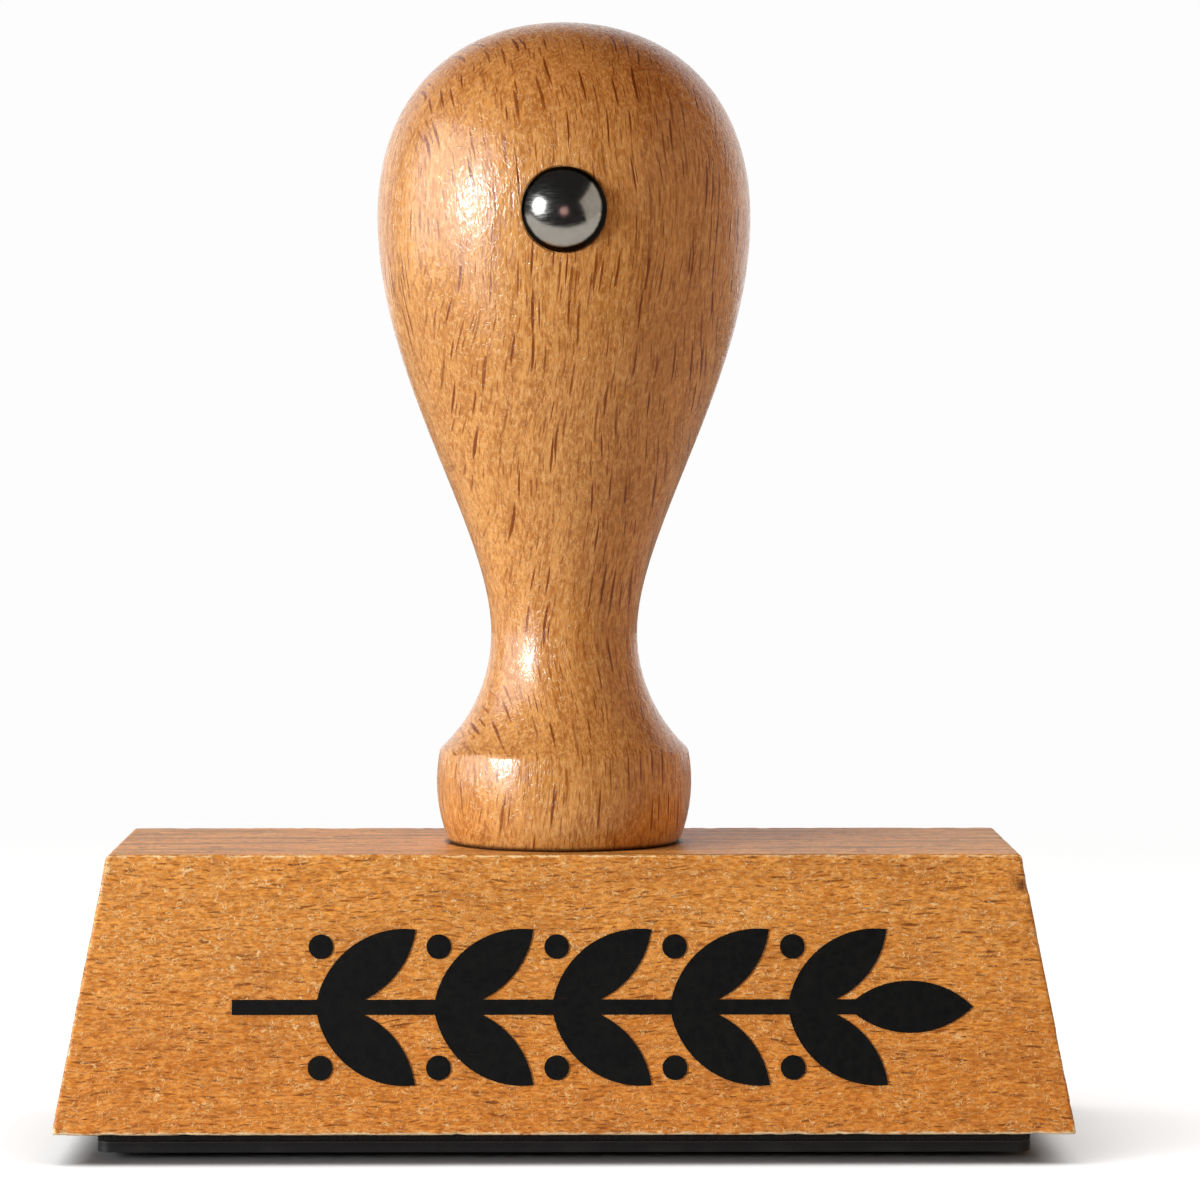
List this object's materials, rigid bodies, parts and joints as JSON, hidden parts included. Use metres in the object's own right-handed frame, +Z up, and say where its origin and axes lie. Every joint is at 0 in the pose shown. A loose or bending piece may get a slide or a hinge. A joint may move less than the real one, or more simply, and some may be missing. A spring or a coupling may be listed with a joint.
{
  "type": "rubber stamp",
  "caption": "Hand stamp: a pear-shaped turned wooden handle on a wooden block with sloping sides, with a domed front marker and a cushioned rubber die that prints a leaf sprig.",
  "frame": {"origin": "middle of the printing face, on the surface that the stamp stands on", "axes": "+Z up along the handle, +X along the block, front with the marker and the print towards -Y"},
  "size_m": [0.0744, 0.0297, 0.0838],
  "materials": {
    "handle_wood": "turned beech under a glossy clear lacquer",
    "block_wood": "planed beech under a thin satin lacquer",
    "screw_steel": "zinc-plated steel",
    "marker_chrome": "polished nickel plate",
    "nail_steel": "drawn steel",
    "adhesive_film": "clear double-sided film",
    "cushion_foam": "closed-cell foam",
    "die_rubber": "engraved rubber, matt",
    "print_ink": "black printing ink"
  },
  "bodies": {
    "mount": {"handle": "handle_wood", "block": "block_wood", "fixing_screw": "screw_steel", "marker_cap": "marker_chrome", "marker_nail": "nail_steel", "mount_film": "adhesive_film", "foam_cushion": "cushion_foam", "front_print": "print_ink"},
    "die": {"rubber_die": "die_rubber", "die_film": "adhesive_film"}
  },
  "joints": [
    {"name": "cushion_press", "type": "slide", "parent": "mount", "child": "die", "axis": [0, 0, 1], "range_m": [0, 0.0003], "stiffness_N_per_m": 12000, "deforming": ["foam_cushion"]}
  ]
}
